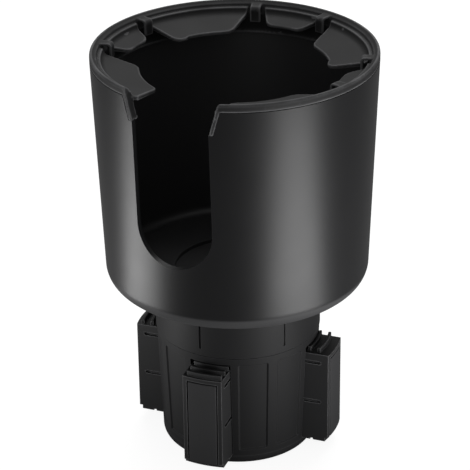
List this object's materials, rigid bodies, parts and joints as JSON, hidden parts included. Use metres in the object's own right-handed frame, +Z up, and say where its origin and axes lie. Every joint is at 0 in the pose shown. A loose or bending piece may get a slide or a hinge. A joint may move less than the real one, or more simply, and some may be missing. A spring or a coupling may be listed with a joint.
{
  "type": "cup holder expander",
  "caption": "Wide cup with a mug-handle slot and a rubber rim ring on a round base; twisting the cup drives rubber-faced jaws out of the base to grip a car cup holder.",
  "frame": {"origin": "on the cup's axis, at the centre of the flat foot that the part stands on", "axes": "+Z up along the cup's axis; -Y towards the middle of the mug-handle slot; +X to the right seen from the slot"},
  "size_m": [0.1158, 0.1133, 0.1747],
  "materials": {
    "cup_plastic": "satin gloss moulded black",
    "soft_rubber": "fine matt black rubber",
    "base_plastic": "fine spark-eroded matt black",
    "jaw_plastic": "matt moulded black",
    "bearing_plastic": "black acetal",
    "screw_steel": "zinc-plated steel",
    "insert_brass": "turned brass"
  },
  "bodies": {
    "base": {"drum": "base_plastic", "bottom_cover": "base_plastic", "cover_screws": "screw_steel", "threaded_insert": "insert_brass", "centre_bolt": "screw_steel", "flat_washer": "screw_steel", "spring_washer": "screw_steel"},
    "cup": {"cup_shell": "cup_plastic", "rubber_ring": "soft_rubber", "collar": "base_plastic", "scroll_plate": "bearing_plastic", "cup_screws": "screw_steel"},
    "jaw_front": {"front_jaw": "jaw_plastic", "front_pad": "soft_rubber"},
    "jaw_right": {"right_jaw": "jaw_plastic", "right_pad": "soft_rubber"},
    "jaw_back": {"back_jaw": "jaw_plastic", "back_pad": "soft_rubber"},
    "jaw_left": {"left_jaw": "jaw_plastic", "left_pad": "soft_rubber"}
  },
  "joints": [
    {"name": "cup_turn", "type": "hinge", "parent": "base", "child": "cup", "pos_m": [0, 0, 0.05], "axis": [0, 0, 1], "range_deg": [0, 864]},
    {"name": "front_jaw_slide", "type": "slide", "parent": "base", "child": "jaw_front", "axis": [0.1132, -0.9936, 0], "range_m": [-0.0096, 0]},
    {"name": "right_jaw_slide", "type": "slide", "parent": "base", "child": "jaw_right", "axis": [0.9936, 0.1132, 0], "range_m": [-0.0096, 0]},
    {"name": "back_jaw_slide", "type": "slide", "parent": "base", "child": "jaw_back", "axis": [-0.1132, 0.9936, 0], "range_m": [-0.0096, 0]},
    {"name": "left_jaw_slide", "type": "slide", "parent": "base", "child": "jaw_left", "axis": [-0.9936, -0.1132, 0], "range_m": [-0.0096, 0]}
  ],
  "couplings": [
    {"joint": "front_jaw_slide", "follows": "cup_turn", "m_per_rad": -0.0006366},
    {"joint": "right_jaw_slide", "follows": "cup_turn", "m_per_rad": -0.0006366},
    {"joint": "back_jaw_slide", "follows": "cup_turn", "m_per_rad": -0.0006366},
    {"joint": "left_jaw_slide", "follows": "cup_turn", "m_per_rad": -0.0006366}
  ]
}
